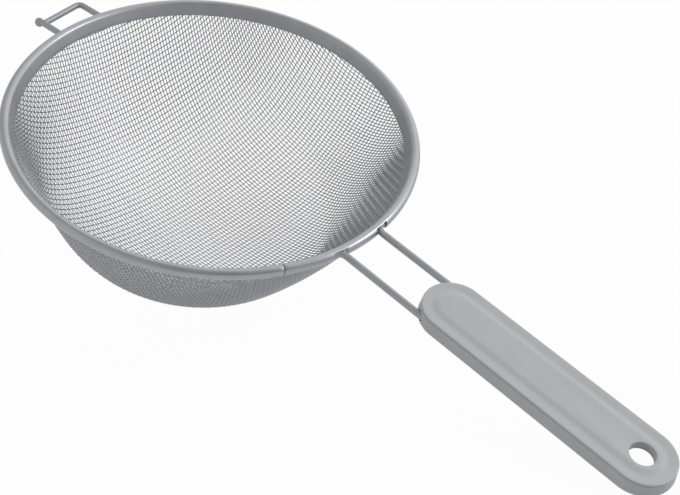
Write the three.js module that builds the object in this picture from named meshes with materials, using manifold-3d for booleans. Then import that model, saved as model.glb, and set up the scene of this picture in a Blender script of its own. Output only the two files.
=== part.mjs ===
// Kitchen sieve: a bowl of woven wire cloth held in a rolled rim, a wire frame that runs inside
// the rim and out as two shanks, a wire rest on the far side, and a moulded handle.
// Millimetres, +Z up. The sieve lies on a worktop, on its bowl and the end of its handle.
// Every piece is drawn with the rim level: origin at the centre of the hoop, handle along +X.
import * as THREE from 'three';
import { mergeVertices } from 'three/addons/utils/BufferGeometryUtils.js';
import loadManifold from 'manifold-3d';

// Rim: a strip of stainless sheet, its outer edge rolled over the hoop, its inner edge a flange
const rimDiameter = 200;
const sheetThickness = 0.6;
const flangeDrop = 4.1;        // lower edge of the flange, below the hoop
const rollStop = 120;          // degrees past the outside, where the rolled edge ends
const seamAngle = -24;         // degrees from the handle to the butt joint of the strip
const seamGap = 0.4;
const lipDrop = 1.1;           // straight lip between the shanks, below the hoop

// Frame wire: the hoop and both shanks
const wireDiameter = 3;
const shankSpacing = 23.5;
const shankBendRadius = 4.5;
const shankLength = 37.9;      // free run from the rim to the tip of the handle
const shankGrip = 70;          // held inside the handle, from its tip
const shankRise = 0.85;        // degrees up from the level of the rim, for shanks and handle

// Wire cloth: a conical wall and a rounded bottom, drawn with one strand for every six to nine wires
const bowlDepth = 80;          // lowest point, below the hoop
const wallLean = 24;           // degrees from the upright, for the flange and the cloth
const wallSlant = 53;          // straight part of the wall
const bowlSet = 8;             // how far the bottom sits over towards the rest
const strandPitch = 15.6;
const strandThickness = 0.9;

// Rest: a bent wire welded to a straight one, to hook on the edge of a pot
const restWireDiameter = 3.2;
const restSpacing = 26.2;
const restReach = 24.4;        // beyond the rim
const restSlope = 8.5;         // degrees down from the level of the rim
const restBendRadius = 2.6;
const restTuck = 2.4;          // run of each leg under the roll
const restSkew = 4.8;          // how much nearer the rim the welded end of the bar is
const restKnobDiameter = 4.8;  // rounded end of the straight leg
const restKnobDrop = 0.9;

// Handle: a moulding with a shallow gutter round its upper panel, hollow underneath, and with a
// hole to hang it by
const handleLength = 128;
const handleWidth = 30.2;
const handleThickness = 8.6;
const topEdgeRadius = 0.8;
const lowerEdgeRadius = 4.2;
const gutterInset = 4.6;       // lowest line of the gutter, in from the outline
const gutterDepth = 0.45;
const panelSlope = 3.8;        // width of the slope from the gutter up to the panel
const panelRise = 0.15;        // panel above the upper edge
const hollowBorder = 5.6;
const hollowSlope = 1.2;
const hollowDepth = 5.6;
const grooveDepth = 0.4;       // fine line under the upper edge
const grooveWidth = 0.9;
const holeDiameter = 10.8;
const holeEdgeRadius = 0.4;
const holeFromEnd = 15;

const clearance = 0.3;         // left between pieces that touch

// Sizes that follow
const rimRadius = rimDiameter / 2;
const wireRadius = wireDiameter / 2;
const rollInside = wireRadius + clearance;
const rollOutside = rollInside + sheetThickness;
const hoopRadius = rimRadius - rollOutside;
const shankY = shankSpacing / 2;
const bendY = shankY + shankBendRadius;
const bendX = Math.sqrt((hoopRadius + shankBendRadius) ** 2 - bendY ** 2);
const rise = THREE.MathUtils.degToRad(shankRise);
const handleStart = rimRadius + shankLength;
const handleEnd = handleStart + handleLength;
const lean = THREE.MathUtils.degToRad(wallLean);
const fullTurn = 2 * Math.PI;
const rimSegments = 60;
const wireSides = 8;

const wasm = await loadManifold();
wasm.setup();

// A closed geometry as a solid that can be joined and cut
function toSolid(geometry) {
  const bare = geometry.clone();
  for (const name of ['normal', 'uv']) bare.deleteAttribute(name);
  const merged = mergeVertices(bare.index ? bare.toNonIndexed() : bare, 1e-4);
  const mesh = new wasm.Mesh({
    numProp: 3,
    vertProperties: new Float32Array(merged.attributes.position.array),
    triVerts: new Uint32Array(merged.index.array),
  });
  mesh.merge();
  return new wasm.Manifold(mesh);
}

function fromSolid(solid) {
  const { vertProperties, triVerts } = solid.getMesh();
  return closedGeometry(vertProperties, triVerts);
}

function closedGeometry(coordinates, triangles) {
  const geometry = new THREE.BufferGeometry();
  geometry.setAttribute('position', new THREE.Float32BufferAttribute(coordinates, 3));
  geometry.setIndex(Array.from(triangles));
  return geometry;
}

function part(name, geometry, colour, roughness, metalness) {
  const material = new THREE.MeshStandardMaterial({ color: colour, roughness, metalness });
  const mesh = new THREE.Mesh(geometry, material);
  mesh.name = name;
  mesh.geometry.computeVertexNormals();
  return mesh;
}

// A closed outline in (radius, height), turned about the axis of the sieve
function revolve(outline, segments) {
  const points = outline.map(([radius, height]) => new THREE.Vector2(radius, height));
  points.push(points[0].clone());
  return new THREE.LatheGeometry(points, segments).rotateX(Math.PI / 2);
}

// A block that follows the rim between two places across it, from one height to another
function rimBlock(inner, outer, fromY, toY, bottom, top) {
  const from = Math.asin(fromY / rimRadius);
  const to = Math.asin(toY / rimRadius);
  const shape = new THREE.Shape();
  shape.absarc(0, 0, outer, from, to, false);
  shape.absarc(0, 0, inner, to, from, true);
  const block = new THREE.ExtrudeGeometry(shape, {
    depth: top - bottom, bevelEnabled: false, curveSegments: 6,
  });
  return block.translate(0, 0, bottom);
}

// A wire bent through given points, with one ring of its section at each point
class BentWire extends THREE.Curve {
  constructor(points) {
    super();
    this.points = points;
  }

  getPoint(t) {
    const place = t * (this.points.length - 1);
    const index = Math.min(Math.floor(place), this.points.length - 2);
    return this.points[index].clone().lerp(this.points[index + 1], place - index);
  }

  getPointAt(t) {
    return this.getPoint(t);
  }

  getTangentAt(t) {
    const last = this.points.length - 1;
    const index = Math.round(t * last);
    const before = this.points[Math.max(index - 1, 0)];
    const after = this.points[Math.min(index + 1, last)];
    const here = this.points[index];
    const arriving = here.clone().sub(before).normalize();
    const leaving = after.clone().sub(here).normalize();
    return arriving.add(leaving).normalize();
  }
}

function wireAlong(points, diameter) {
  const section = new THREE.Shape();
  for (let side = 0; side < wireSides; side += 1) {
    const angle = (side + 0.5) * fullTurn / wireSides;
    const corner = [Math.cos(angle) * diameter / 2, Math.sin(angle) * diameter / 2];
    if (side === 0) section.moveTo(...corner);
    else section.lineTo(...corner);
  }
  section.closePath();
  return new THREE.ExtrudeGeometry(section, {
    extrudePath: new BentWire(points), steps: points.length - 1, bevelEnabled: false,
  });
}

function arcPoints(centreX, centreY, radius, from, to, steps) {
  return Array.from({ length: steps + 1 }, (_, step) => {
    const angle = from + (to - from) * step / steps;
    return new THREE.Vector3(centreX + radius * Math.cos(angle), centreY + radius * Math.sin(angle), 0);
  });
}

// Rim strip in section: up the flange, over the crest, round the hoop and under it
const rollMiddle = (rollInside + rollOutside) / 2;
const crestStart = Math.PI - lean;
const flangeTop = {
  radius: hoopRadius + rollMiddle * Math.cos(crestStart),
  height: rollMiddle * Math.sin(crestStart),
};
const flangeRadiusAt = (height) => flangeTop.radius + (height - flangeTop.height) * Math.tan(lean);

function rimSection() {
  const half = sheetThickness / 2;
  const across = [half * Math.cos(lean), -half * Math.sin(lean)];
  const foot = [flangeRadiusAt(-flangeDrop), -flangeDrop];
  const rollEnd = -THREE.MathUtils.degToRad(rollStop);
  const rollSteps = 9;
  const rollAngle = (step) => crestStart + (rollEnd - crestStart) * step / rollSteps;
  const onRoll = (radius) => (_, step) => [
    hoopRadius + radius * Math.cos(rollAngle(step)),
    radius * Math.sin(rollAngle(step)),
  ];
  const inside = Array.from({ length: rollSteps + 1 }, onRoll(rollInside));
  const outside = Array.from({ length: rollSteps + 1 }, onRoll(rollOutside)).reverse();
  return [
    [foot[0] - across[0], foot[1] - across[1]],
    [foot[0] + across[0], foot[1] + across[1]],
    ...inside,
    ...outside,
  ];
}

function makeRim() {
  const below = -rollOutside - clearance;
  const beyond = rimRadius + clearance;
  const lipEdge = shankY - wireRadius - clearance;
  const rollCut = bendY * hoopRadius / (hoopRadius + shankBendRadius) + wireRadius;
  const lipOverlap = sheetThickness / 4;
  const underRoll = hoopRadius - wireRadius;
  let rim = toSolid(revolve(rimSection(), rimSegments));
  rim = rim.subtract(toSolid(rimBlock(underRoll, beyond, -rollCut, rollCut, below, 0)));
  for (const side of [-1, 1]) {
    const ends = [side * lipEdge, side * rollCut].sort((a, b) => a - b);
    rim = rim.subtract(toSolid(rimBlock(hoopRadius, beyond, ...ends, below, rollInside)));
  }
  const lip = rimBlock(rimRadius - sheetThickness, rimRadius, -lipEdge, lipEdge, -lipDrop, lipOverlap);
  rim = rim.add(toSolid(lip));
  const stripWidth = rimRadius - flangeRadiusAt(-flangeDrop) + rollOutside;
  const seamHeight = 2 * (rollOutside + flangeDrop);
  const seam = new THREE.BoxGeometry(stripWidth + sheetThickness, seamGap, seamHeight);
  seam.translate(rimRadius - stripWidth / 2, 0, 0);
  seam.rotateZ(THREE.MathUtils.degToRad(seamAngle));
  rim = rim.subtract(toSolid(seam));
  return part('rim_band', fromSolid(rim), 0x9a9b9e, 0.32, 1);
}

// Frame wire: in from the handle, round the hoop inside the roll and out again
function makeFrameWire() {
  const turnAt = Math.atan2(bendY, bendX);
  const tip = handleStart + shankGrip;
  const tipHeight = (tip - bendX) * Math.tan(rise);
  const bendSteps = 5;
  const hoopSteps = rimSegments;
  const bend = arcPoints(bendX, bendY, shankBendRadius, -Math.PI / 2, -Math.PI + turnAt, bendSteps);
  const hoop = arcPoints(0, 0, hoopRadius, turnAt, fullTurn - turnAt, hoopSteps);
  const mirrored = bend.map((point) => new THREE.Vector3(point.x, -point.y, 0)).reverse();
  const route = [
    new THREE.Vector3(tip, shankY, tipHeight),
    ...bend,
    ...hoop.slice(1, -1),
    ...mirrored,
    new THREE.Vector3(tip, -shankY, tipHeight),
  ];
  return part('frame_wire', wireAlong(route, wireDiameter), 0xa2a3a5, 0.28, 1);
}

// Rest: one leg and the bar are a bent wire, the other leg is straight and ends in a knob
function makeRest() {
  const legY = restSpacing / 2;
  const wireHalf = restWireDiameter / 2;
  const knobRadius = restKnobDiameter / 2;
  const rimX = Math.sqrt(rimRadius ** 2 - legY ** 2);
  const run = restReach + rimRadius - rimX + restTuck;
  const bar = new THREE.Vector2(-restSkew, restSpacing).normalize();
  const turn = bar.angle();
  const cornerX = run - wireHalf;
  const bendStart = cornerX - restBendRadius * Math.tan(turn / 2);
  const bendSteps = 5;
  const corner = arcPoints(bendStart, restBendRadius - legY, restBendRadius,
    -Math.PI / 2, turn - Math.PI / 2, bendSteps);
  const barLength = Math.hypot(restSkew, restSpacing) - wireHalf / 2;
  const bent = wireAlong([
    new THREE.Vector3(0, -legY, 0),
    ...corner,
    new THREE.Vector3(cornerX + bar.x * barLength, bar.y * barLength - legY, 0),
  ], restWireDiameter);
  const straight = wireAlong([
    new THREE.Vector3(0, legY, 0),
    new THREE.Vector3(run - knobRadius, legY, 0),
  ], restWireDiameter);
  const knob = new THREE.SphereGeometry(knobRadius, 12, 8);
  knob.translate(run - knobRadius, legY, -restKnobDrop);
  const rest = fromSolid(toSolid(bent).add(toSolid(straight)).add(toSolid(knob)));
  const slope = THREE.MathUtils.degToRad(restSlope);
  rest.rotateY(slope);
  rest.rotateZ(Math.PI);
  const depthUnderRoll = rollOutside + clearance + wireHalf / Math.cos(slope);
  rest.translate(-(rimX - restTuck), 0, -depthUnderRoll);
  return part('rest_hook', rest, 0xa2a3a5, 0.28, 1);
}

// Cloth surface: a straight wall that runs into an elliptical bottom, set over as it goes down
const clothOffset = (sheetThickness / 2 + clearance + strandThickness) / Math.cos(lean);
const clothRadiusAt = (height) => flangeRadiusAt(height) + clothOffset;
const hemTop = -(rollOutside + clearance);
const wallFoot = {
  radius: clothRadiusAt(hemTop) - wallSlant * Math.sin(lean),
  height: hemTop - wallSlant * Math.cos(lean),
};
const bottomRise = wallFoot.height + bowlDepth;
const wallTangent = bottomRise * Math.tan(lean);
const bottomEdge = Math.asin(wallTangent / (wallFoot.radius - wallTangent));
const bottomHalfWidth = wallFoot.radius / Math.cos(bottomEdge);
const bottomHalfHeight = bottomRise / (1 - Math.sin(bottomEdge));
const wallStart = Math.PI / 2 - bottomEdge;

// Place on the cloth: climb is an angle from the lowest point, then goes on up the wall
function clothPoint(climb, around) {
  const upWall = climb - wallStart;
  const radius = upWall < 0
    ? bottomHalfWidth * Math.sin(climb)
    : wallFoot.radius + upWall * wallSlant * Math.sin(lean);
  const height = upWall < 0
    ? bottomHalfHeight * (1 - Math.cos(climb)) - bowlDepth
    : wallFoot.height + upWall * wallSlant * Math.cos(lean);
  const set = bowlSet * (height - hemTop) / (bowlDepth + hemTop);
  return new THREE.Vector3(radius * Math.cos(around) + set, radius * Math.sin(around), height);
}

const tinyStep = 1e-4;
const firstClimb = 0.05;
const halvings = 40;
const newtonPasses = 12;

function clothDirections(climb, around) {
  const here = clothPoint(climb, around);
  const up = clothPoint(climb + tinyStep, around).sub(here).divideScalar(tinyStep);
  const along = clothPoint(climb, around + tinyStep).sub(here).divideScalar(tinyStep);
  return { here, up, along };
}

// Next crossing along a central strand, one pitch from the last
function nextOnStrand(climb, around) {
  const last = clothPoint(climb, around);
  let low = climb;
  let high = climb + 1;
  for (let halving = 0; halving < halvings; halving += 1) {
    const middle = (low + high) / 2;
    if (clothPoint(middle, around).distanceTo(last) < strandPitch) low = middle;
    else high = middle;
  }
  return { climb: (low + high) / 2, around };
}

// Crossing one pitch from two neighbours, found by Newton's method on the cloth surface
function nextCrossing(first, second, start) {
  let { climb, around } = start;
  const targets = [first, second].map(({ climb: c, around: a }) => clothPoint(c, a));
  for (let pass = 0; pass < newtonPasses; pass += 1) {
    const { here, up, along } = clothDirections(climb, around);
    const [a, b] = targets.map((target) => here.clone().sub(target));
    const missA = (a.lengthSq() - strandPitch ** 2) / 2;
    const missB = (b.lengthSq() - strandPitch ** 2) / 2;
    const determinant = a.dot(up) * b.dot(along) - a.dot(along) * b.dot(up);
    climb -= (missA * b.dot(along) - missB * a.dot(along)) / determinant;
    around -= (missB * a.dot(up) - missA * b.dot(up)) / determinant;
  }
  return { climb, around };
}

// Crossings of the cloth, one quarter at a time, each strand keeping its pitch as the cloth shears
const crossingKey = (column, row) => `${column},${row}`;
const hemMiddle = (hemTop - flangeDrop) / 2;

function layCloth() {
  const crossings = new Map();
  const put = (column, row, place) => {
    const { here, up, along } = clothDirections(place.climb, place.around);
    const inward = up.cross(along).normalize();
    const inside = here.z < hemMiddle - strandThickness;
    crossings.set(crossingKey(column, row), { ...place, column, row, here, inward, inside });
  };
  const get = (column, row) => crossings.get(crossingKey(column, row));
  const most = Math.ceil(2 * bowlDepth / strandPitch + rimDiameter / strandPitch);
  put(0, 0, { climb: tinyStep, around: 0 });
  const arms = [[1, 0, 0], [0, 1, Math.PI / 2], [-1, 0, Math.PI], [0, -1, 1.5 * Math.PI]];
  for (const [column, row, around] of arms) {
    let place = { climb: tinyStep, around };
    for (let count = 1; count < most; count += 1) {
      place = nextOnStrand(place.climb, around);
      put(column * count, row * count, place);
      if (!get(column * count, row * count).inside) break;
    }
  }
  for (const [stepColumn, stepRow] of [[1, 1], [-1, 1], [-1, -1], [1, -1]]) {
    const middle = Math.atan2(stepRow, stepColumn);
    for (let sum = 2; sum < 2 * most; sum += 1) {
      for (let count = 1; count < sum; count += 1) {
        const column = stepColumn * count;
        const row = stepRow * (sum - count);
        const first = get(column - stepColumn, row);
        const second = get(column, row - stepRow);
        if (!first || !second || !(first.inside || second.inside)) continue;
        const around = (nearTurn(first.around, middle) + nearTurn(second.around, middle)) / 2;
        const climb = Math.max(first.climb, second.climb) + firstClimb;
        put(column, row, nextCrossing(first, second, { climb, around }));
      }
    }
  }
  return crossings;
}

function nearTurn(angle, middle) {
  return middle + ((angle - middle + 3 * Math.PI) % fullTurn) - Math.PI;
}

// Woven strands of square section: each passes over one neighbour and under the next
function weaveCloth(crossings) {
  const coordinates = [];
  const triangles = [];
  const vertex = (point) => coordinates.push(point.x, point.y, point.z) / 3 - 1;
  const quad = (a, b, c, d) => triangles.push(a, b, c, a, c, d);
  const sides = [[1, 0], [0, 1], [-1, 0], [0, -1]];
  const corners = [[1, -1], [1, 1], [-1, 1], [-1, -1]];
  const neighbour = (crossing, [column, row]) =>
    crossings.get(crossingKey(crossing.column + column, crossing.row + row));
  const strandDirection = (crossing, column, row) => {
    const ahead = neighbour(crossing, [column, row]) ?? crossing;
    const behind = neighbour(crossing, [-column, -row]) ?? crossing;
    return ahead.here.clone().sub(behind.here).projectOnPlane(crossing.inward).normalize();
  };
  const woven = [...crossings.values()].filter((crossing) => crossing.inside);
  for (const crossing of woven) {
    const alongColumn = strandDirection(crossing, 1, 0);
    const alongRow = strandDirection(crossing, 0, 1);
    const spread = strandThickness / 2 / alongColumn.clone().cross(alongRow).length();
    crossing.columnOver = (crossing.column + crossing.row) % 2 === 0;
    crossing.level = [-1, 0, 1].map((layer) => corners.map(([column, row]) => vertex(crossing.here.clone()
      .addScaledVector(alongColumn, column * spread)
      .addScaledVector(alongRow, row * spread)
      .addScaledVector(crossing.inward, layer * strandThickness))));
  }
  const overOn = (crossing, side) => (side[0] !== 0) === crossing.columnOver;
  const mouth = (crossing, sideIndex, over) => {
    const [low, high] = over ? crossing.level.slice(1) : crossing.level.slice(0, 2);
    const next = (sideIndex + 1) % 4;
    return [low[sideIndex], low[next], high[next], high[sideIndex]];
  };
  for (const crossing of woven) {
    quad(...crossing.level[2]);
    quad(...crossing.level[0].slice().reverse());
    sides.forEach((side, sideIndex) => {
      const over = overOn(crossing, side);
      quad(...mouth(crossing, sideIndex, !over));
      const from = mouth(crossing, sideIndex, over);
      const ahead = neighbour(crossing, side);
      if (ahead.inside) {
        if (side[0] + side[1] < 0) return;
        const [a, b, c, d] = mouth(ahead, (sideIndex + 2) % 4, overOn(ahead, side));
        const to = [b, a, d, c];
        from.forEach((_, edge) => {
          const next = (edge + 1) % 4;
          quad(from[edge], from[next], to[next], to[edge]);
        });
        return;
      }
      const share = (hemMiddle - crossing.here.z) / (ahead.here.z - crossing.here.z);
      const shift = ahead.here.clone().sub(crossing.here).multiplyScalar(share);
      const reach = (index) => new THREE.Vector3().fromArray(coordinates, 3 * index).add(shift);
      const to = from.map((index) => vertex(reach(index)));
      from.forEach((_, edge) => {
        const next = (edge + 1) % 4;
        quad(from[edge], from[next], to[next], to[edge]);
      });
      quad(...to);
    });
  }
  return closedGeometry(coordinates, triangles);
}

function makeCloth() {
  const half = strandThickness / Math.cos(lean);
  const hem = [
    [clothRadiusAt(-flangeDrop) - half, -flangeDrop],
    [clothRadiusAt(-flangeDrop) + half, -flangeDrop],
    [clothRadiusAt(hemTop) + half, hemTop],
    [clothRadiusAt(hemTop) - half, hemTop],
  ];
  const cloth = toSolid(weaveCloth(layCloth())).add(toSolid(revolve(hem, rimSegments)));
  return part('mesh_bowl', fromSolid(cloth), 0xa8a9ab, 0.35, 1);
}

// Handle outline, drawn in from the full width by a given amount
const endSteps = 14;
const rowStart = handleStart + handleWidth / 2;
const rowEnd = handleEnd - handleWidth / 2;

function handleRing(inset, height) {
  const radius = handleWidth / 2 - inset;
  const rear = arcPoints(rowEnd, 0, radius, -Math.PI / 2, Math.PI / 2, endSteps);
  const front = arcPoints(rowStart, 0, radius, Math.PI / 2, 1.5 * Math.PI, endSteps);
  return [...rear, ...front].map((point) => point.setZ(height));
}

// Rings of one outline joined from the first to the last, both closed by a flat floor
function loft(rings) {
  const count = rings[0].length;
  const coordinates = rings.flat().flatMap((point) => point.toArray());
  const triangles = [];
  for (let ring = 1; ring < rings.length; ring += 1) {
    for (let place = 0; place < count; place += 1) {
      const next = (place + 1) % count;
      const [a, b] = [(ring - 1) * count + place, (ring - 1) * count + next];
      const [c, d] = [ring * count + next, ring * count + place];
      triangles.push(a, d, c, a, c, b);
    }
  }
  const last = (rings.length - 1) * count;
  for (let place = 1; place < count - 1; place += 1) {
    triangles.push(0, place, place + 1);
    triangles.push(last, last + place + 1, last + place);
  }
  return closedGeometry(coordinates, triangles);
}

// Rings along a soft slope, from one height at the border to another inside it
function slopeRings(border, slope, from, to) {
  const steps = 4;
  return Array.from({ length: steps + 1 }, (_, step) => {
    const share = step / steps;
    const height = from + (to - from) * (1 - Math.cos(Math.PI * share)) / 2;
    return handleRing(border + slope * share, height);
  });
}

function edgeRings(radius, face, steps) {
  return Array.from({ length: steps + 1 }, (_, step) => {
    const angle = step / steps * Math.PI / 2;
    const height = face - Math.sign(face) * radius * (1 - Math.cos(angle));
    return handleRing(radius * (1 - Math.sin(angle)), height);
  });
}

function makeHandle() {
  const face = handleThickness / 2;
  const gutter = face - gutterDepth;
  const panelTop = face + panelRise;
  const hollowTop = hollowDepth - face;
  const grooveTop = face - topEdgeRadius;
  const groove = [
    handleRing(grooveDepth, grooveTop - grooveWidth / 2),
    handleRing(0, grooveTop - grooveWidth),
  ];
  const body = toSolid(loft([
    ...slopeRings(gutterInset, panelSlope, gutter, panelTop).reverse(),
    ...slopeRings(topEdgeRadius, gutterInset - topEdgeRadius, face, gutter).reverse().slice(1, -1),
    ...edgeRings(topEdgeRadius, face, 2),
    ...groove,
    ...edgeRings(lowerEdgeRadius, -face, 5).reverse(),
    ...slopeRings(hollowBorder, hollowSlope, -face, hollowTop),
  ]));
  const socketLength = shankGrip + clearance;
  const socketStart = handleStart - clearance;
  const socket = new THREE.CylinderGeometry(rollInside, rollInside, socketLength + clearance, 12);
  socket.rotateZ(Math.PI / 2);
  socket.translate(socketStart + (socketLength + clearance) / 2, 0, 0);
  const holeRadius = holeDiameter / 2;
  const flare = (floor, turn) => [0, Math.PI / 4, Math.PI / 2].map((angle) => [
    holeRadius + holeEdgeRadius * (1 - Math.sin(angle)),
    floor + turn * holeEdgeRadius * (1 - Math.cos(angle)),
  ]);
  const drill = [
    [0, -face - clearance],
    [holeRadius + holeEdgeRadius, -face - clearance],
    ...flare(hollowTop, 1),
    ...flare(panelTop, -1).reverse(),
    [holeRadius + holeEdgeRadius, panelTop + clearance],
    [0, panelTop + clearance],
  ].map(([radius, height]) => new THREE.Vector2(radius, height));
  const hole = new THREE.LatheGeometry(drill, 24).rotateX(Math.PI / 2);
  hole.translate(handleEnd - holeFromEnd, 0, 0);
  const handle = body
    .subtract(toSolid(socket.clone().translate(0, shankY, 0)))
    .subtract(toSolid(socket.clone().translate(0, -shankY, 0)))
    .subtract(toSolid(hole));
  const geometry = fromSolid(handle).translate(-bendX, 0, 0).rotateY(-rise).translate(bendX, 0, 0);
  return part('handle', geometry, 0xa9aaac, 0.6, 0);
}

// Lowest height of a piece once the sieve leans down towards its handle
function lowestPoint(piece, angle) {
  const position = piece.geometry.attributes.position;
  let lowest = Infinity;
  for (let index = 0; index < position.count; index += 1) {
    const height = position.getZ(index) * Math.cos(angle) - position.getX(index) * Math.sin(angle);
    lowest = Math.min(lowest, height);
  }
  return lowest;
}

// Lean at which the bowl and the end of the handle both touch the worktop
function restingLean(bowl, handle) {
  let low = 0;
  let high = Math.PI / 4;
  for (let halving = 0; halving < halvings; halving += 1) {
    const middle = (low + high) / 2;
    if (lowestPoint(handle, middle) > lowestPoint(bowl, middle)) low = middle;
    else high = middle;
  }
  return (low + high) / 2;
}

const cloth = makeCloth();
const handle = makeHandle();
const sieve = new THREE.Group();
sieve.add(makeRim(), makeFrameWire(), makeRest(), cloth, handle);
sieve.rotation.y = restingLean(cloth, handle);

const lying = new THREE.Group();
lying.add(sieve);
const extent = new THREE.Box3().setFromObject(lying, true);
const middle = extent.getCenter(new THREE.Vector3());
sieve.position.set(-middle.x, -middle.y, -extent.min.z);

export default lying;
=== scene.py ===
import math

import bpy
import numpy as np
from mathutils import Matrix, Vector


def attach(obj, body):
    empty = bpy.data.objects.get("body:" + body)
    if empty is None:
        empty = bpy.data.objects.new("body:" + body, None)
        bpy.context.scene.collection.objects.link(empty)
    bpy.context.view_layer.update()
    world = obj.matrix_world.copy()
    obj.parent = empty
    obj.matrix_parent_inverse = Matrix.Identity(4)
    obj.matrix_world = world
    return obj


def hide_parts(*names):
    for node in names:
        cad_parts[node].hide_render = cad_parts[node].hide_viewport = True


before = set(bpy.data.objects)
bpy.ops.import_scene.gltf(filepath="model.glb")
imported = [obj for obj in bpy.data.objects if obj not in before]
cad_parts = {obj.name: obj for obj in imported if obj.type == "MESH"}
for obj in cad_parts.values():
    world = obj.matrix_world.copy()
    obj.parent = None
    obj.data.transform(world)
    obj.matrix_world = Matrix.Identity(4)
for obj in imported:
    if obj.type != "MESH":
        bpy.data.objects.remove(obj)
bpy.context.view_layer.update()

# Rim: a strip of stainless sheet. Its outer edge is rolled over the hoop wire, its inner edge is a
# flange in front of the cloth, and its two ends meet in a butt seam. Between the shanks of the
# frame wire the roll is cut away and the sheet hangs down as a straight lip.
RIM_RADIUS = 100.0
SHEET = 0.6
SHEET_EDGE = 0.12
WIRE = 3.25
FIT = 0.3
WALL_LEAN = math.radians(24)
FLANGE_DROP = 3.8
FLANGE_STEPS = 3
ROLL_STEP = 6
ROLL_STOP = -120
LIP_STOP = -16
WINDOW_TOP = 60
SEAM_AT = math.radians(-24)
SEAM_GAP = 0.4
RIM_COLUMNS = 264
SHANK_Y = 11.75
BEND = 4.5
TOUCHING = 0.01
roll_middle = WIRE / 2 + FIT + SHEET / 2
hoop_radius = RIM_RADIUS - roll_middle - SHEET / 2
lip_edge = SHANK_Y - WIRE / 2 - FIT
roll_cut = (SHANK_Y + BEND) * hoop_radius / (hoop_radius + BEND) + WIRE / 2
crest = math.pi - WALL_LEAN
flange_top = (hoop_radius + roll_middle * math.cos(crest), roll_middle * math.sin(crest))


def deselect_all(piece):
    """Takes a piece out of edit mode, with none of its points, edges and faces selected."""
    bpy.ops.object.mode_set(mode="OBJECT")
    for part in (*piece.data.vertices, *piece.data.edges, *piece.data.polygons):
        part.select = False


def select_points(piece, wanted):
    """Selects the points of a piece whose place is wanted, and goes into edit mode on them."""
    deselect_all(piece)
    for point in piece.data.vertices:
        point.select = wanted(point.co)
    bpy.ops.object.mode_set(mode="EDIT")
    bpy.ops.mesh.select_mode(type="VERT")


def select_faces(piece, wanted):
    """Selects the faces of a piece whose middle is wanted, and goes into edit mode on them."""
    deselect_all(piece)
    for face in piece.data.polygons:
        face.select = wanted(face.center)
    bpy.ops.object.mode_set(mode="EDIT")
    bpy.ops.mesh.select_mode(type="FACE")


def roll_angle(place):
    """Angle round the roll in degrees, from 0 at the outside over the top to the flange."""
    angle = math.degrees(math.atan2(place.z, math.hypot(place.x, place.y) - hoop_radius))
    return angle if angle > ROLL_STOP - ROLL_STEP else angle + 360


bpy.ops.object.select_all(action="DESELECT")
bpy.ops.mesh.primitive_circle_add(vertices=360 // ROLL_STEP, radius=roll_middle,
                                  location=(hoop_radius, 0, 0), rotation=(math.pi / 2, 0, 0))
rim = bpy.context.object
rim.name = "rim_strip"
bpy.ops.object.transform_apply(location=True, rotation=True)
half_step = ROLL_STEP / 2
select_points(rim, lambda p: roll_angle(p) > math.degrees(crest) + half_step
              or roll_angle(p) < ROLL_STOP - half_step)
bpy.ops.mesh.delete(type="VERT")
select_points(rim, lambda p: abs(roll_angle(p) - math.degrees(crest)) < half_step)
flange_run = (FLANGE_DROP + flange_top[1]) / FLANGE_STEPS
for _ in range(FLANGE_STEPS):
    bpy.ops.mesh.extrude_vertices_move(TRANSFORM_OT_translate={
        "value": (-flange_run * math.tan(WALL_LEAN), 0, -flange_run)})
bpy.ops.mesh.select_all(action="SELECT")
seam_turn = SEAM_GAP / RIM_RADIUS
bpy.ops.mesh.spin(steps=RIM_COLUMNS, angle=2 * math.pi - seam_turn,
                  center=(0, 0, 0), axis=(0, 0, 1))
bpy.ops.object.mode_set(mode="OBJECT")
spin_sign = 1 if rim.data.vertices[-1].co.y < 0 else -1
rim.data.transform(Matrix.Rotation(SEAM_AT + spin_sign * seam_turn / 2, 4, "Z"))
for side in (-roll_cut, -lip_edge, lip_edge, roll_cut):
    select_faces(rim, lambda p: p.x > 0 and abs(p.y) < 2 * roll_cut)
    bpy.ops.mesh.bisect(plane_co=(0, side, 0), plane_no=(0, 1, 0))


def off_the_strip(place):
    """Whether the sheet is cut away at a place: under the lip, or round a shank."""
    if place.x < 0 or abs(place.y) > roll_cut:
        return False
    stop = LIP_STOP if abs(place.y) < lip_edge else WINDOW_TOP
    return roll_angle(place) < stop


select_faces(rim, off_the_strip)
bpy.ops.mesh.delete(type="FACE")
bpy.ops.object.mode_set(mode="OBJECT")
lip_radius = hoop_radius + roll_middle
for point in rim.data.vertices:
    angle = roll_angle(point.co)
    between_shanks = point.co.x > 0 and abs(point.co.y) < lip_edge + TOUCHING
    if between_shanks and ROLL_STOP < angle < 0:
        around = math.atan2(point.co.y, point.co.x)
        point.co = (lip_radius * math.cos(around), lip_radius * math.sin(around),
                    math.radians(angle) * roll_middle)
bpy.ops.object.mode_set(mode="EDIT")
bpy.ops.mesh.select_all(action="SELECT")
bpy.ops.mesh.remove_doubles(threshold=0.001)
bpy.ops.mesh.normals_make_consistent(inside=False)
bpy.ops.object.mode_set(mode="OBJECT")


def apply_modifier(piece, kind, **settings):
    modifier = piece.modifiers.new(kind.lower(), kind)
    for name, value in settings.items():
        setattr(modifier, name, value)
    bpy.ops.object.modifier_apply(modifier=modifier.name)


apply_modifier(rim, "SOLIDIFY", thickness=SHEET, offset=0, use_even_offset=True)
apply_modifier(rim, "BEVEL", width=SHEET_EDGE, segments=2, limit_method="ANGLE",
               angle_limit=math.radians(50))

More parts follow.
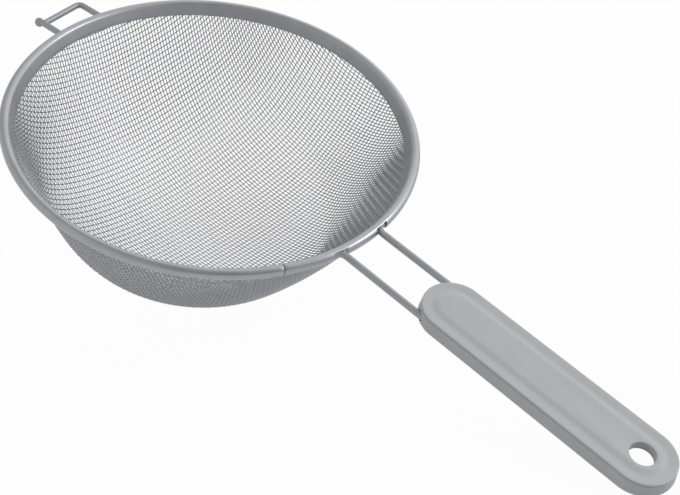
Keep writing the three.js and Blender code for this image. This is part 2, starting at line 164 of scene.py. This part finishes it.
# The sieve is drawn level, in millimetres about the centre of its hoop, and then laid down on the
# worktop, where it leans on its bowl and the end of its handle.
MILLIMETRE = 0.001
LEAN = math.radians(17.754)
HOOP_CENTRE = (-67.045, 0.0, 81.817)
lay_down = (Matrix.Scale(MILLIMETRE, 4) @ Matrix.Translation(HOOP_CENTRE)
            @ Matrix.Rotation(LEAN, 4, "Y"))

CLOUD_TONE = 0.12
CLOUD_ROUGHNESS = 0.1
LINE_ROUGHNESS = 0.06
FLANGE_BLEND = 0.4


class Shade:
    """A socket of a material, so that shader maths is written as arithmetic."""

    def __init__(self, tree, socket=None):
        self.tree = tree
        self.socket = socket

    def node(self, kind, settings=None, inputs=None, output=0):
        made = self.tree.nodes.new(kind)
        for name, value in (settings or {}).items():
            setattr(made, name, value)
        for name, value in (inputs or {}).items():
            self.feed(made.inputs[name], value)
        return Shade(self.tree, made.outputs[output])

    def sibling(self, output):
        """Another output of the same node."""
        return Shade(self.tree, self.socket.node.outputs[output])

    def feed(self, target, value):
        if isinstance(value, Shade):
            self.tree.links.new(value.socket, target)
        else:
            target.default_value = value

    def between(self, factor, first, second):
        """A colour between two others. The numbers are the colour sockets of a Mix node."""
        return self.node("ShaderNodeMix", {"data_type": "RGBA"}, {
            "Factor": factor, 6: first, 7: second}, output=2)

    def maths(self, operation, first, second):
        return self.node("ShaderNodeMath", {"operation": operation}, {0: first, 1: second})

    def __add__(self, other):
        return self.maths("ADD", self, other)

    def __sub__(self, other):
        return self.maths("SUBTRACT", self, other)

    def __rsub__(self, other):
        return self.maths("SUBTRACT", other, self)

    def __mul__(self, other):
        return self.maths("MULTIPLY", self, other)

    __radd__ = __add__
    __rmul__ = __mul__


def new_finish(name, constants):
    material = bpy.data.materials.new(name)
    material.use_nodes = True
    shader = material.node_tree.nodes["Principled BSDF"]
    for socket, value in constants.items():
        shader.inputs[socket].default_value = value
    return material, Shade(material.node_tree), shader


def grey(level, red=0.98, blue=1.06):
    return (level * red, level, level * blue, 1)


def steel(name, level, roughness, line_scale, line_depth, flange_dullness=0.0):
    """Drawn or rolled stainless steel: cloudy tone, uneven polish and fine lines along the rim.

    The flange of the rim keeps a duller finish than the roll."""
    material, shade, shader = new_finish(name, {"Metallic": 1.0})
    level_place = shade.node("ShaderNodeMapping", {"vector_type": "TEXTURE"}, {
        "Vector": shade.node("ShaderNodeTexCoord", output="Object"),
        "Location": [coordinate * MILLIMETRE for coordinate in HOOP_CENTRE],
        "Rotation": (0, LEAN, 0)})
    split = shade.node("ShaderNodeSeparateXYZ", inputs={"Vector": level_place})
    across = shade.node("ShaderNodeVectorMath", {"operation": "LENGTH"}, {
        0: shade.node("ShaderNodeCombineXYZ", inputs={
            "X": split.sibling("X"), "Y": split.sibling("Y")})}, output="Value")
    lines = shade.node("ShaderNodeTexNoise", {"noise_dimensions": "2D"}, {
        "Vector": shade.node("ShaderNodeCombineXYZ", inputs={
            "X": across, "Y": split.sibling("Z")}),
        "Scale": line_scale, "Detail": 2.0})
    clouds = shade.node("ShaderNodeTexNoise", inputs={
        "Vector": level_place, "Scale": 90.0, "Detail": 3.0})
    shade.feed(shader.inputs["Base Color"], shade.between(
        clouds, grey(level * (1 - CLOUD_TONE)), grey(level * (1 + CLOUD_TONE))))
    dullness = shade.node("ShaderNodeMapRange", inputs={
        "Value": across,
        "From Min": flange_top[0] * MILLIMETRE,
        "From Max": (flange_top[0] + FLANGE_BLEND) * MILLIMETRE,
        "To Min": flange_dullness, "To Max": 0.0})
    least_roughness = roughness - (CLOUD_ROUGHNESS + LINE_ROUGHNESS) / 2
    shade.feed(shader.inputs["Roughness"],
               clouds * CLOUD_ROUGHNESS + lines * LINE_ROUGHNESS + dullness + least_roughness)
    shade.feed(shader.inputs["Normal"], shade.node("ShaderNodeBump", inputs={
        "Strength": 0.25, "Distance": line_depth, "Height": lines}))
    return material


def set_in_place(piece, material, node, smooth_angle=40):
    """Lays a finished piece down with the sieve, gives it its material, hangs it on the root body
    and hides the imported part it stands in for.
    """
    bpy.ops.object.mode_set(mode="OBJECT")
    piece.data.transform(lay_down)
    piece.data.materials.clear()
    piece.data.materials.append(material)
    bpy.ops.object.select_all(action="DESELECT")
    piece.select_set(True)
    bpy.context.view_layer.objects.active = piece
    bpy.ops.object.shade_smooth_by_angle(angle=math.radians(smooth_angle))
    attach(piece, "root")
    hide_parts(node)


rim_steel = steel("satin_rim_steel", level=0.38, roughness=0.31, line_scale=5000.0,
                  line_depth=0.000004, flange_dullness=0.2)
set_in_place(rim, rim_steel, "rim_band", smooth_angle=50)

# Frame wire: one bright stainless wire, bent into the hoop inside the roll. Both of its ends turn
# outwards in a tight bend and run on as the shanks, deep into the handle.
HANDLE_START = 137.9
SHANK_GRIP = 70.0
SHANK_RISE = math.radians(0.85)
HOOP_POINTS = 240
HOOP_TRIM = 0.004
BEND_STEPS = 8
bend_y = SHANK_Y + BEND
bend_x = math.sqrt((hoop_radius + BEND) ** 2 - bend_y ** 2)
turn_at = math.atan2(bend_y, bend_x)


def draw_out(piece, end, route):
    """Extrudes the end point of an open line along a route."""
    for place in route:
        select_points(piece, lambda p: (p - end).length < TOUCHING)
        bpy.ops.mesh.extrude_vertices_move(TRANSFORM_OT_translate={"value": place - end})
        end = place


def round_wire(piece, diameter, resolution):
    """Turns the lines of a piece into round wire of a given diameter."""
    bpy.ops.object.mode_set(mode="OBJECT")
    bpy.ops.object.select_all(action="DESELECT")
    piece.select_set(True)
    bpy.context.view_layer.objects.active = piece
    bpy.ops.object.convert(target="CURVE")
    line = bpy.context.object
    line.data.bevel_depth = diameter / 2
    line.data.bevel_resolution = resolution
    line.data.use_fill_caps = True
    bpy.ops.object.convert(target="MESH")
    return bpy.context.object


bpy.ops.object.select_all(action="DESELECT")
bpy.ops.mesh.primitive_circle_add(vertices=HOOP_POINTS, radius=hoop_radius, location=(0, 0, 0))
wire = bpy.context.object
wire.name = "hoop_and_shanks"
select_points(wire, lambda p: p.x > 0 and abs(math.atan2(p.y, p.x)) < turn_at + HOOP_TRIM)
bpy.ops.mesh.delete(type="VERT")
tip = HANDLE_START + SHANK_GRIP
for side in (1, -1):
    bpy.ops.object.mode_set(mode="OBJECT")
    ends = [p.co.copy() for p in wire.data.vertices if p.co.x > 0 and p.co.y * side > 0]
    route = []
    for step in range(BEND_STEPS + 1):
        angle = -math.pi + turn_at + (math.pi / 2 - turn_at) * step / BEND_STEPS
        route.append(Vector((bend_x + BEND * math.cos(angle),
                             side * (bend_y + BEND * math.sin(angle)), 0)))
    route.append(Vector((tip, side * SHANK_Y, (tip - bend_x) * math.tan(SHANK_RISE))))
    draw_out(wire, max(ends, key=lambda p: p.x), route)
wire = round_wire(wire, WIRE, resolution=5)
wire_steel = steel("bright_wire_steel", level=0.36, roughness=0.5, line_scale=3000.0,
                   line_depth=0.000001)
set_in_place(wire, wire_steel, "frame_wire")

# Rest: stout wire welded under the roll opposite the handle, to hook on the edge of a pot. One leg
# turns a corner into the bar, which is welded to the other leg just short of its rounded end.
REST_WIRE = 3.2
REST_Y = 13.1
REST_REACH = 24.4
REST_SLOPE = math.radians(8.5)
REST_BEND = 2.6
REST_TUCK = 2.4
REST_SKEW = 4.8
REST_BAR_SHARE = 0.97
REST_KNOB = 4.8
REST_KNOB_DROP = 0.9
rest_rim_x = math.sqrt(RIM_RADIUS ** 2 - REST_Y ** 2)
rest_run = REST_REACH + RIM_RADIUS - rest_rim_x + REST_TUCK
rest_drop = roll_middle + SHEET / 2 + FIT + REST_WIRE / 2 / math.cos(REST_SLOPE)
corner = Vector((rest_run - REST_WIRE / 2, -REST_Y, 0))
bar_end = corner + Vector((-REST_SKEW, 2 * REST_Y, 0)) * REST_BAR_SHARE
corner_turn = math.atan2(2 * REST_Y, -REST_SKEW)


def combine(piece, other, operation):
    """Joins another solid to a piece, or cuts it away."""
    bpy.ops.object.mode_set(mode="OBJECT")
    bpy.ops.object.select_all(action="DESELECT")
    piece.select_set(True)
    bpy.context.view_layer.objects.active = piece
    apply_modifier(piece, "BOOLEAN", operation=operation, object=other, solver="EXACT")
    bpy.data.objects.remove(other)


bpy.ops.object.select_all(action="DESELECT")
bpy.ops.mesh.primitive_plane_add(size=2, location=(0, 0, 0))
rest = bpy.context.object
rest.name = "pot_rest_wire"
select_points(rest, lambda p: p.x < 0 < p.y)
bpy.ops.mesh.delete(type="VERT")
bpy.ops.object.mode_set(mode="OBJECT")
for point in rest.data.vertices:
    if point.co.x < 0:
        point.co = (0, -REST_Y, 0)
    else:
        point.co = corner if point.co.y < 0 else bar_end
select_points(rest, lambda p: (p - corner).length < TOUCHING)
bpy.ops.mesh.bevel(offset=REST_BEND * math.tan(corner_turn / 2), segments=10, affect="VERTICES")
bpy.ops.object.mode_set(mode="OBJECT")
rest = round_wire(rest, REST_WIRE, resolution=6)
leg_length = rest_run - REST_KNOB / 2
bpy.ops.mesh.primitive_cylinder_add(
    vertices=28, radius=REST_WIRE / 2, depth=leg_length,
    location=(leg_length / 2, REST_Y, 0), rotation=(0, math.pi / 2, 0))
combine(rest, bpy.context.object, "UNION")
bpy.ops.mesh.primitive_uv_sphere_add(segments=32, ring_count=16, radius=REST_KNOB / 2,
                                     location=(leg_length, REST_Y, -REST_KNOB_DROP))
combine(rest, bpy.context.object, "UNION")
rest.data.transform(Matrix.Translation((-(rest_rim_x - REST_TUCK), 0, -rest_drop))
                    @ Matrix.Rotation(math.pi, 4, "Z") @ Matrix.Rotation(REST_SLOPE, 4, "Y"))
set_in_place(rest, wire_steel, "rest_hook")

# Cloth: plain weave of fine stainless wire, drawn into a bowl whose conical wall is long on the
# side of the handle and short on the side of the rest. Each wire keeps its spacing while the cloth
# shears into the bowl, and the raw edge is clamped behind the flange.
BOWL_DEPTH = 79.9
WALL_LONG = 62.0
WALL_LOSS = 44.0
BOWL_SET = 14.3
CLOTH_WIRE = 0.52
WEAVE_SWING = 0.48
PITCH_ALONG = 2.75
PITCH_ACROSS = 1.75
HEM_SPACE = 0.9
TINY_STEP = 1e-5
ARM_REACH = 0.3
ARM_HALVINGS = 40
SPARE_CROSSINGS = 40
FIRST_CLIMB = 0.01
FITTING_ROUNDS = 25
CLIMB_LIMIT = 0.05
TURN_LIMIT = 0.3
MOST_WIRES = 1000
hem_top = -(roll_middle + SHEET / 2 + FIT)
cloth_offset = (SHEET / 2 + FIT + HEM_SPACE) / math.cos(WALL_LEAN)
wall_top = flange_top[0] + (hem_top - flange_top[1]) * math.tan(WALL_LEAN) + cloth_offset


def cloth_point(climb, around):
    """Place on the cloth: climb is an angle from the lowest point, then runs on up the wall."""
    slant = WALL_LONG - WALL_LOSS * np.sin(around / 2) ** 4
    foot_radius = wall_top - slant * math.sin(WALL_LEAN)
    foot_height = hem_top - slant * math.cos(WALL_LEAN)
    bottom_rise = foot_height + BOWL_DEPTH
    wall_tangent = bottom_rise * math.tan(WALL_LEAN)
    bottom_edge = np.arcsin(wall_tangent / (foot_radius - wall_tangent))
    up_wall = climb - (math.pi / 2 - bottom_edge)
    on_wall = up_wall > 0
    radius = np.where(on_wall, foot_radius + up_wall * slant * math.sin(WALL_LEAN),
                      foot_radius / np.cos(bottom_edge) * np.sin(climb))
    height = np.where(on_wall, foot_height + up_wall * slant * math.cos(WALL_LEAN),
                      bottom_rise / (1 - np.sin(bottom_edge)) * (1 - np.cos(climb)) - BOWL_DEPTH)
    depth = (hem_top - height) / (BOWL_DEPTH + hem_top)
    shift = -BOWL_SET * depth * np.abs(depth)
    return np.stack([radius * np.cos(around) + shift, radius * np.sin(around), height], -1)


def cloth_slopes(climb, around):
    """Place on the cloth, and how it moves with the climb and with the turn round the bowl."""
    here = cloth_point(climb, around)
    up = (cloth_point(climb + TINY_STEP, around) - here) / TINY_STEP
    along = (cloth_point(climb, around + TINY_STEP) - here) / TINY_STEP
    return here, up, along


def arm(around, pitch):
    """Crossings along one half of a central wire, one pitch apart."""
    climbs = [TINY_STEP]
    while cloth_point(climbs[-1], around)[2] < hem_top:
        low, high = climbs[-1], climbs[-1] + ARM_REACH
        last = cloth_point(climbs[-1], around)
        for _ in range(ARM_HALVINGS):
            middle = (low + high) / 2
            if np.linalg.norm(cloth_point(middle, around) - last) < pitch:
                low = middle
            else:
                high = middle
        climbs.append(middle)
    return climbs


def quarter(first_around, second_around):
    """Crossings in one quarter of the cloth, from the two central wires that bound it.

    Each crossing lies one pitch from its two neighbours nearer to the lowest point."""
    first = arm(first_around, PITCH_ALONG)
    second = arm(second_around, PITCH_ACROSS)
    count = max(len(first), len(second)) + SPARE_CROSSINGS
    climb = np.full((count, count), np.nan)
    around = np.full((count, count), np.nan)
    climb[:len(first), 0], around[:len(first), 0] = first, first_around
    climb[0, :len(second)], around[0, :len(second)] = second, second_around
    around[0, 0] = first_around
    middle = (first_around + second_around) / 2
    for total in range(2, 2 * count - 1):
        column = np.arange(max(1, total - count + 1), min(total, count))
        row = total - column
        near = np.stack([climb[column - 1, row], climb[column, row - 1]])
        turn = np.stack([around[column - 1, row], around[column, row - 1]])
        known = ~np.isnan(near).any(0)
        if total > 2 and not known.any():
            break
        column, row, near, turn = column[known], row[known], near[:, known], turn[:, known]
        below = (cloth_point(near, turn)[..., 2] < hem_top).any(0)
        column, row, near, turn = column[below], row[below], near[:, below], turn[:, below]
        if not len(column):
            break
        fixed = cloth_point(near, turn)
        new_climb = near.max(0) + FIRST_CLIMB
        new_turn = np.broadcast_to(middle if total == 2 else turn.mean(0), new_climb.shape).copy()
        for _ in range(FITTING_ROUNDS):
            here, up, along = cloth_slopes(new_climb, new_turn)
            one, two = here - fixed[0], here - fixed[1]
            miss_one = ((one ** 2).sum(-1) - PITCH_ALONG ** 2) / 2
            miss_two = ((two ** 2).sum(-1) - PITCH_ACROSS ** 2) / 2
            one_up, one_along = (one * up).sum(-1), (one * along).sum(-1)
            two_up, two_along = (two * up).sum(-1), (two * along).sum(-1)
            size = one_up * two_along - one_along * two_up
            climb_step = (miss_one * two_along - miss_two * one_along) / size
            turn_step = (miss_two * one_up - miss_one * two_up) / size
            new_climb = new_climb - np.clip(climb_step, -CLIMB_LIMIT, CLIMB_LIMIT)
            new_turn = new_turn - np.clip(turn_step, -TURN_LIMIT, TURN_LIMIT)
        climb[column, row] = new_climb
        around[column, row] = new_turn
    return climb, around


crossings = {}
for first_turn, second_turn in ((0, 0.5), (1, 0.5), (1, 1.5), (2, 1.5)):
    climbs, turns = quarter(first_turn * math.pi, second_turn * math.pi)
    column_sign = 1 if first_turn in (0, 2) else -1
    row_sign = 1 if second_turn == 0.5 else -1
    columns, rows = np.nonzero(~np.isnan(climbs))
    here, up, along = cloth_slopes(climbs[columns, rows], turns[columns, rows])
    inward = np.cross(up, along)
    inward /= np.linalg.norm(inward, axis=-1, keepdims=True)
    for column, row, place, normal in zip(columns * column_sign, rows * row_sign, here, inward):
        crossings[int(column), int(row)] = (place, normal)


def to_hem(inside, outside):
    """Where a wire between two crossings reaches the hem."""
    share = (hem_top - inside[2]) / (outside[2] - inside[2])
    return inside + (outside - inside) * share


def strand_runs(places):
    """Stretches of one wire that lie under the rim, each run out to the hem at its ends."""
    run = []
    for index, (place, normal, over) in enumerate(places):
        if place[2] < hem_top:
            if not run and index:
                run.append(to_hem(place, places[index - 1][0]))
            run.append(place + normal * over * CLOTH_WIRE * WEAVE_SWING)
        elif run:
            run.append(to_hem(places[index - 1][0], place))
            yield run
            run = []
    if run:
        yield run


def weave(name, along, low, high):
    """One piece of the cloth: the wires of one direction whose number lies in a range."""
    points, edges = [], []
    strands = {}
    for (column, row), (place, normal) in crossings.items():
        number, step = (row, column) if along else (column, row)
        if low <= number < high:
            over = 1 if (column + row) % 2 == (0 if along else 1) else -1
            strands.setdefault(number, {})[step] = (place, normal, over)
    for number in sorted(strands):
        steps = strands[number]
        for run in strand_runs([steps[step] for step in sorted(steps)]):
            edges += [(len(points) + i, len(points) + i + 1) for i in range(len(run) - 1)]
            points += [tuple(place) for place in run]
    mesh = bpy.data.meshes.new(name)
    mesh.from_pydata(points, edges, [])
    piece = bpy.data.objects.new(name, mesh)
    bpy.context.scene.collection.objects.link(piece)
    piece = round_wire(piece, CLOTH_WIRE, resolution=1)
    set_in_place(piece, cloth_steel, "mesh_bowl", smooth_angle=80)


cloth_steel = steel("woven_wire_steel", level=0.39, roughness=0.4, line_scale=6000.0,
                    line_depth=0.000004)
for name, along, low, high in (("cloth_lengthwise_left", True, 0, MOST_WIRES),
                               ("cloth_lengthwise_right", True, -MOST_WIRES, 0),
                               ("cloth_crosswise_front", False, 0, MOST_WIRES),
                               ("cloth_crosswise_back", False, -MOST_WIRES, 0)):
    weave(name, along, low, high)

# Handle: one moulding in grey plastic with a fine matte grain, with sockets for both shanks. Its
# wall leans in a little and has a fine line under the upper edge, a shallow gutter runs round the
# panel, and the underside is hollow, most widely round the hole that hangs the sieve up.
HANDLE_LENGTH = 128.4
HANDLE_WIDTH = 30.2
HANDLE_THICKNESS = 8.6
TOP_RAISE = 0.35
WALL_DRAFT = 0.7
TOP_EDGE = 0.5
LOWER_EDGE = 3.3
END_LIFT = 0.135
GROOVE_DEPTH = 0.6
GROOVE_WIDTH = 0.8
GUTTER_INSET = 4.6
GUTTER_DEPTH = 0.35
PANEL_SLOPE = 3.8
PANEL_RISE = 0.35
HOLLOW_BORDER = 5.6
HOLLOW_SLOPE = 1.2
HOLLOW_DEPTH = 4.9
HOLE_POCKET = 3.6
HOLE = 11.1
HOLE_EDGE = 0.4
HOLE_FROM_END = 15.4
OUTLINE_POINTS = 144
LEVEL_EDGE = 0.05
face_height = HANDLE_THICKNESS / 2
end_radius = HANDLE_WIDTH / 2
straight = HANDLE_LENGTH - HANDLE_WIDTH
hole_x = HANDLE_START + HANDLE_LENGTH - HOLE_FROM_END


def inset_along(profile):
    """Insets the selected face step by step along a profile of (inset, rise)."""
    for (inset, rise), (next_inset, next_rise) in zip(profile, profile[1:]):
        bpy.ops.mesh.inset(thickness=next_inset - inset, depth=next_rise - rise)


def rounded(radius, steps):
    """Quarter-round edge: the profile turns from the wall to the face."""
    return [(radius * (1 - math.cos(math.pi / 2 * step / steps)),
             radius * math.sin(math.pi / 2 * step / steps)) for step in range(steps + 1)]


def soft_slope(inset, width, rise, next_rise, steps):
    """Slope from one level to another that starts and ends softly."""
    return [(inset + width * step / steps,
             rise + (next_rise - rise) * (1 - math.cos(math.pi * step / steps)) / 2)
            for step in range(steps + 1)]


def from_spine(place):
    """Level way to a place from the line that joins the centres of the two rounded ends."""
    spine_start = HANDLE_START + end_radius
    nearest = min(max(place.x, spine_start), spine_start + straight)
    return Vector((place.x - nearest, place.y, 0))


bpy.ops.object.select_all(action="DESELECT")
bpy.ops.mesh.primitive_circle_add(vertices=OUTLINE_POINTS, radius=end_radius, fill_type="NGON",
                                  location=(0, 0, 0))
handle = bpy.context.object
handle.name = "handle_moulding"
for point in handle.data.vertices:
    rear = point.co.x > -TOUCHING
    point.co.x += HANDLE_START + end_radius + (straight if rear else 0)
bpy.ops.object.mode_set(mode="EDIT")
bpy.ops.mesh.select_all(action="SELECT")
lower_level = LOWER_EDGE - face_height
upper_level = face_height + TOP_RAISE - TOP_EDGE
groove_level = upper_level - GROOVE_WIDTH / 2
bpy.ops.transform.translate(value=(0, 0, lower_level))
levels = [lower_level, upper_level - GROOVE_WIDTH, groove_level, upper_level]
for level_from, level_to in zip(levels, levels[1:]):
    bpy.ops.mesh.extrude_region_move(TRANSFORM_OT_translate={
        "value": (0, 0, level_to - level_from)})
gutter = TOP_EDGE - GUTTER_DEPTH
inset_along(
    rounded(TOP_EDGE, steps=5)
    + soft_slope(TOP_EDGE, GUTTER_INSET - TOP_EDGE, TOP_EDGE, gutter, steps=10)[1:]
    + soft_slope(GUTTER_INSET, PANEL_SLOPE, gutter, TOP_EDGE + PANEL_RISE, steps=12)[1:])
bpy.ops.mesh.select_all(action="SELECT")
bpy.ops.mesh.normals_make_consistent(inside=False)
select_faces(handle, lambda p: abs(p.z - lower_level) < TOUCHING)
inset_along(
    rounded(LOWER_EDGE, steps=8)
    + soft_slope(HOLLOW_BORDER, HOLLOW_SLOPE, LOWER_EDGE, LOWER_EDGE - HOLLOW_DEPTH, steps=8))
bpy.ops.object.mode_set(mode="OBJECT")
for point in handle.data.vertices:
    outward = from_spine(point.co)
    if abs(point.co.z - groove_level) < TOUCHING and outward.length > end_radius - TOUCHING:
        point.co -= outward.normalized() * GROOVE_DEPTH
for point in handle.data.vertices:
    outward = from_spine(point.co)
    up_wall = (point.co.z - lower_level) / (upper_level - lower_level)
    if up_wall > 0:
        point.co -= outward * min(up_wall, 1) * WALL_DRAFT / end_radius
    elif outward.x > 0:
        point.co.z += (lower_level - point.co.z) * END_LIFT * outward.x / end_radius
for side in (-1, 1):
    bpy.ops.mesh.primitive_cylinder_add(
        vertices=32, radius=WIRE / 2 + FIT, depth=SHANK_GRIP + 2 * FIT,
        location=(HANDLE_START + SHANK_GRIP / 2, side * SHANK_Y, 0), rotation=(0, math.pi / 2, 0))
    combine(handle, bpy.context.object, "DIFFERENCE")
bpy.ops.mesh.primitive_cylinder_add(
    vertices=64, radius=end_radius - HOLE_POCKET, depth=HOLLOW_DEPTH,
    location=(0, 0, HOLLOW_DEPTH / 2 - face_height))
pocket = bpy.context.object
bpy.ops.object.transform_apply(location=True)
for point in pocket.data.vertices:
    point.co.x += hole_x - (HOLE if point.co.x < -TOUCHING else 0)
combine(handle, pocket, "DIFFERENCE")
bpy.ops.mesh.primitive_cylinder_add(vertices=96, radius=HOLE / 2, depth=4 * HANDLE_THICKNESS,
                                    location=(hole_x, 0, 0))
combine(handle, bpy.context.object, "DIFFERENCE")
deselect_all(handle)
for edge in handle.data.edges:
    ends = [handle.data.vertices[i].co for i in edge.vertices]
    on_hole = all(abs(math.hypot(p.x - hole_x, p.y) - HOLE / 2) < TOUCHING for p in ends)
    edge.select = on_hole and abs(ends[0].z - ends[1].z) < LEVEL_EDGE
bpy.ops.object.mode_set(mode="EDIT")
bpy.ops.mesh.select_mode(type="EDGE")
bpy.ops.mesh.bevel(offset=HOLE_EDGE, segments=4)
bpy.ops.object.mode_set(mode="OBJECT")
handle.data.transform(Matrix.Translation((bend_x, 0, 0)) @ Matrix.Rotation(-SHANK_RISE, 4, "Y")
                      @ Matrix.Translation((-bend_x, 0, 0)))

DARK_PLASTIC = grey(0.41, red=0.985, blue=1.025)
LIGHT_PLASTIC = grey(0.485, red=0.985, blue=1.025)
GRAIN_TONE = 0.3
GRAIN_ROUGHNESS = 0.12
FLOW_ROUGHNESS = 0.08
LEAST_ROUGHNESS = 0.34
PIT_SHARE = 0.4
plastic, shade, shader = new_finish("matte_grey_plastic", {"IOR": 1.46})
place = shade.node("ShaderNodeTexCoord", output="Object")
grain = shade.node("ShaderNodeTexNoise", inputs={"Vector": place, "Scale": 2600.0, "Detail": 3.0})
pits = shade.node("ShaderNodeTexVoronoi", inputs={"Vector": place, "Scale": 1700.0})
flow = shade.node("ShaderNodeTexNoise", inputs={"Vector": place, "Scale": 70.0, "Detail": 4.0})
shade.feed(shader.inputs["Base Color"], shade.between(
    flow * (1 - GRAIN_TONE) + grain * GRAIN_TONE, DARK_PLASTIC, LIGHT_PLASTIC))
shade.feed(shader.inputs["Roughness"],
           grain * GRAIN_ROUGHNESS + flow * FLOW_ROUGHNESS + LEAST_ROUGHNESS)
shade.feed(shader.inputs["Normal"], shade.node("ShaderNodeBump", inputs={
    "Strength": 0.5, "Distance": 0.00008,
    "Height": grain * (1 - PIT_SHARE) + pits * PIT_SHARE}))
set_in_place(handle, plastic, "handle", smooth_angle=35)

# Stage: a plain white worktop in a light tent. The tent is brightest behind the sieve and a little
# brighter in front of it on the left, and one small soft lamp stands at the back on the right.
WORKTOP_GREY = (0.55, 0.55, 0.55, 1)
WHITE = (1, 1, 1, 1)
SEEN_WHITE = 0.97
MIRRORED_WHITE = 0.8
bpy.ops.object.select_all(action="DESELECT")
bpy.ops.mesh.primitive_plane_add(size=12, location=(0, 0, 0))
floor = bpy.context.object
floor.name = "worktop"
white = bpy.data.materials.new("white_worktop")
white.use_nodes = True
floor_shade = Shade(white.node_tree)
white.node_tree.nodes.remove(white.node_tree.nodes["Principled BSDF"])
to_camera = floor_shade.node("ShaderNodeLightPath", output="Is Camera Ray")
seen = (to_camera * SEEN_WHITE + to_camera.sibling("Is Glossy Ray") * MIRRORED_WHITE
        + to_camera.sibling("Is Transmission Ray") * SEEN_WHITE)
lit = floor_shade.node("ShaderNodeBsdfDiffuse", inputs={"Color": WORKTOP_GREY})
glow = floor_shade.node("ShaderNodeEmission", inputs={"Color": WHITE, "Strength": 1.0})
mixed = floor_shade.node("ShaderNodeMixShader", inputs={0: seen, 1: lit, 2: glow})
floor_shade.feed(white.node_tree.nodes["Material Output"].inputs["Surface"], mixed)
floor.data.materials.append(white)

BRIGHT_SIDE = (0.08, 0.97, 0.2)
FRONT_SIDE = (-0.55, -0.82, 0.15)
DIM_LEVEL = 0.46
BRIGHT_LEVEL = 1.3
FRONT_LEVEL = 0.85
world = bpy.data.worlds.new("studio")
bpy.context.scene.world = world
world.use_nodes = True
tent = Shade(world.node_tree)


def tent_wall(side, level):
    """Light that one side of the tent adds to its dim walls."""
    towards = tent.node("ShaderNodeVectorMath", {"operation": "DOT_PRODUCT"}, {
        0: tent.node("ShaderNodeTexCoord", output="Generated"), 1: side}, output="Value")
    return tent.node("ShaderNodeMapRange", {"interpolation_type": "SMOOTHSTEP"}, {
        "Value": towards, "From Min": 0.0, "From Max": 0.95,
        "To Min": 0.0, "To Max": level - DIM_LEVEL})


level = tent_wall(BRIGHT_SIDE, BRIGHT_LEVEL) + tent_wall(FRONT_SIDE, FRONT_LEVEL) + DIM_LEVEL
to_camera = tent.node("ShaderNodeLightPath", output="Is Camera Ray")
background = world.node_tree.nodes["Background"].inputs
tent.feed(background["Strength"], to_camera + (1 - to_camera) * level)
tent.feed(background["Color"], WHITE)

LAMP_PLACE = Vector((0.8, 0.9, 0.78))
LAMP_TARGET = Vector((-0.06, 0, 0.08))
LAMP_SIDE = 0.4
LAMP_POWER = 3
lamp = bpy.data.lights.new("back_right", "AREA")
lamp.shape = "RECTANGLE"
lamp.size = lamp.size_y = LAMP_SIDE
lamp.energy = LAMP_POWER
holder = bpy.data.objects.new("back_right", lamp)
bpy.context.scene.collection.objects.link(holder)
holder.location = LAMP_PLACE
holder.rotation_euler = (LAMP_TARGET - LAMP_PLACE).to_track_quat("-Z", "Y").to_euler()

# Camera at the photograph's viewing angle, above the sieve and in front of it on the side of the
# handle. It is given about the level sieve and laid down with it.
IMAGE_WIDTH = 680
FOCAL_PIXELS = 1214.9
SENSOR = 36
AZIMUTH, ELEVATION, ROLL = (math.radians(a) for a in (35.754, 44.916, 12.261))
DISTANCE = 582.09
OFFSET = (59.896, 59.047)
right = Vector((math.cos(AZIMUTH), math.sin(AZIMUTH), 0))
back = Vector((math.sin(AZIMUTH) * math.cos(ELEVATION), -math.cos(AZIMUTH) * math.cos(ELEVATION),
               math.sin(ELEVATION)))
up = back.cross(right)
rolled_right = math.cos(ROLL) * right + math.sin(ROLL) * up
rolled_up = math.cos(ROLL) * up - math.sin(ROLL) * right
eye = rolled_right * OFFSET[0] - rolled_up * OFFSET[1] + back * DISTANCE
turn = Matrix.Rotation(LEAN, 3, "Y") @ Matrix((rolled_right, rolled_up, back)).transposed()
camera = bpy.data.objects.new("camera", bpy.data.cameras.new("camera"))
bpy.context.scene.collection.objects.link(camera)
camera.matrix_world = Matrix.Translation(lay_down @ eye) @ turn.to_4x4()
camera.data.sensor_width = SENSOR
camera.data.lens = FOCAL_PIXELS / IMAGE_WIDTH * SENSOR
camera.data.clip_start = 0.01
bpy.context.scene.camera = camera

bpy.context.scene.view_settings.view_transform = "Standard"
